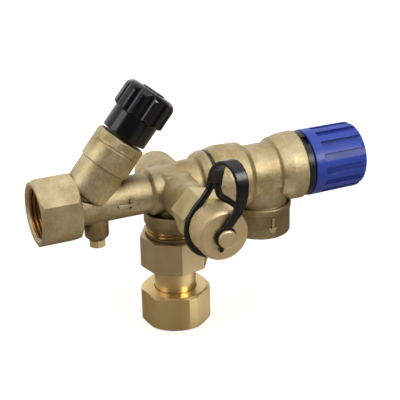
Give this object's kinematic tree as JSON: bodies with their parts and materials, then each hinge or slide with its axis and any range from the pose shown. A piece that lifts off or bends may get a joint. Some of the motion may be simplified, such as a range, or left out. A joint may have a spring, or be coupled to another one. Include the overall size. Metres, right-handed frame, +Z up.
{
  "type": "water heater safety valve group",
  "caption": "Cast brass safety valve group: threaded inlet, slanted stop valve with knob, check valve, capped drain cock, spring relief valve with turning cap, and a tail with union nuts.",
  "frame": {"origin": "centre of the mouth of the lower union nut, which screws on the heater's pipe", "axes": "+Z up along the tail, +X along the main pipe from the inlet to the relief cap, -Y towards the drain cock"},
  "size_m": [0.2106, 0.1199, 0.1588],
  "materials": {
    "cast_brass": "sand cast and blasted, matt",
    "turned_brass": "machined, satin",
    "black_plastic": "moulded, semi gloss",
    "blue_plastic": "moulded, satin",
    "black_rubber": "moulded, smooth",
    "fibre": "pressed fibre",
    "steel": "bright",
    "pale_plastic": "moulded"
  },
  "bodies": {
    "valve_body": {"main_body": "cast_brass", "relief_body": "cast_brass", "upper_union_nut": "turned_brass", "tail_piece": "turned_brass", "stop_bonnet": "turned_brass", "test_plug": "turned_brass", "drain_body": "turned_brass", "relief_adjuster": "turned_brass", "relief_bonnet": "black_plastic", "drain_strap": "black_rubber", "bonnet_seal": "black_rubber", "stem_seal": "black_rubber", "check_cage_ring": "black_rubber", "drain_body_seal": "black_rubber", "body_seal_ring": "black_rubber", "relief_diaphragm": "black_rubber", "upper_gasket": "fibre", "lower_gasket": "fibre", "test_plug_washer": "fibre", "tail_retaining_ring": "steel", "check_spring": "steel", "relief_spring": "steel", "check_cage": "pale_plastic"},
    "stop_disc": {"stop_disc": "turned_brass", "stop_disc_seal": "black_rubber", "stop_disc_screw": "steel", "stop_disc_clip": "steel"},
    "stop_spindle": {"stop_spindle": "turned_brass", "knob": "black_plastic", "knob_screw": "steel", "knob_cap": "black_plastic"},
    "check_poppet": {"check_poppet": "pale_plastic", "check_seal": "black_rubber"},
    "relief_stem": {"relief_stem": "steel", "relief_disc": "turned_brass", "relief_disc_seal": "black_rubber", "relief_spring_plate": "turned_brass", "relief_cap_screw": "steel"},
    "relief_cap": {"relief_cap": "blue_plastic"},
    "drain_seal": {"drain_seal": "black_rubber"},
    "drain_spindle": {"drain_spindle": "turned_brass"},
    "cap_washer": {"cap_washer": "black_rubber"},
    "drain_cap": {"drain_cap": "turned_brass"},
    "lower_union_nut": {"lower_union_nut": "turned_brass"}
  },
  "joints": [
    {"name": "stop_lift", "type": "slide", "parent": "valve_body", "child": "stop_disc", "axis": [0.6293, 0, 0.7771], "range_m": [0, 0.007]},
    {"name": "stop_turn", "type": "hinge", "parent": "stop_disc", "child": "stop_spindle", "pos_m": [-0.0606, 0, 0.088], "axis": [0.6293, 0, 0.7771], "range_deg": [0, 1261]},
    {"name": "check_slide", "type": "slide", "parent": "valve_body", "child": "check_poppet", "axis": [1, 0, 0], "range_m": [0, 0.0045], "stiffness_N_per_m": 100, "springref_m": -0.004, "deforming": ["check_spring"]},
    {"name": "relief_lift", "type": "slide", "parent": "valve_body", "child": "relief_stem", "axis": [1, 0, 0], "range_m": [0, 0.002], "stiffness_N_per_m": 3000, "springref_m": -0.001, "deforming": ["relief_spring", "relief_diaphragm"]},
    {"name": "relief_cap_turn", "type": "hinge", "parent": "relief_stem", "child": "relief_cap", "pos_m": [0.1, 0, 0.088], "axis": [1, 0, 0], "range_deg": [0, 40.5]},
    {"name": "drain_lift", "type": "slide", "parent": "valve_body", "child": "drain_seal", "axis": [0, -1, 0], "range_m": [0, 0.003]},
    {"name": "drain_turn", "type": "hinge", "parent": "drain_seal", "child": "drain_spindle", "pos_m": [0, -0.045, 0.088], "axis": [0, -1, 0], "range_deg": [0, 721]},
    {"name": "cap_lift", "type": "slide", "parent": "valve_body", "child": "cap_washer", "axis": [0, -1, 0], "range_m": [0, 0.00544], "deforming": ["drain_strap"]},
    {"name": "cap_turn", "type": "hinge", "parent": "cap_washer", "child": "drain_cap", "pos_m": [0, -0.066, 0.088], "axis": [0, -1, 0], "range_deg": [0, 1081]},
    {"name": "union_swivel", "type": "hinge", "parent": "valve_body", "child": "lower_union_nut", "pos_m": [0, 0, 0.011], "axis": [0, 0, 1], "continuous": true}
  ],
  "couplings": [
    {"joint": "stop_turn", "follows": "stop_lift", "rad_per_m": 3141.6},
    {"joint": "relief_cap_turn", "follows": "relief_lift", "rad_per_m": 349.07},
    {"joint": "drain_turn", "follows": "drain_lift", "rad_per_m": 4188.8},
    {"joint": "cap_turn", "follows": "cap_lift", "rad_per_m": 3463.7}
  ]
}
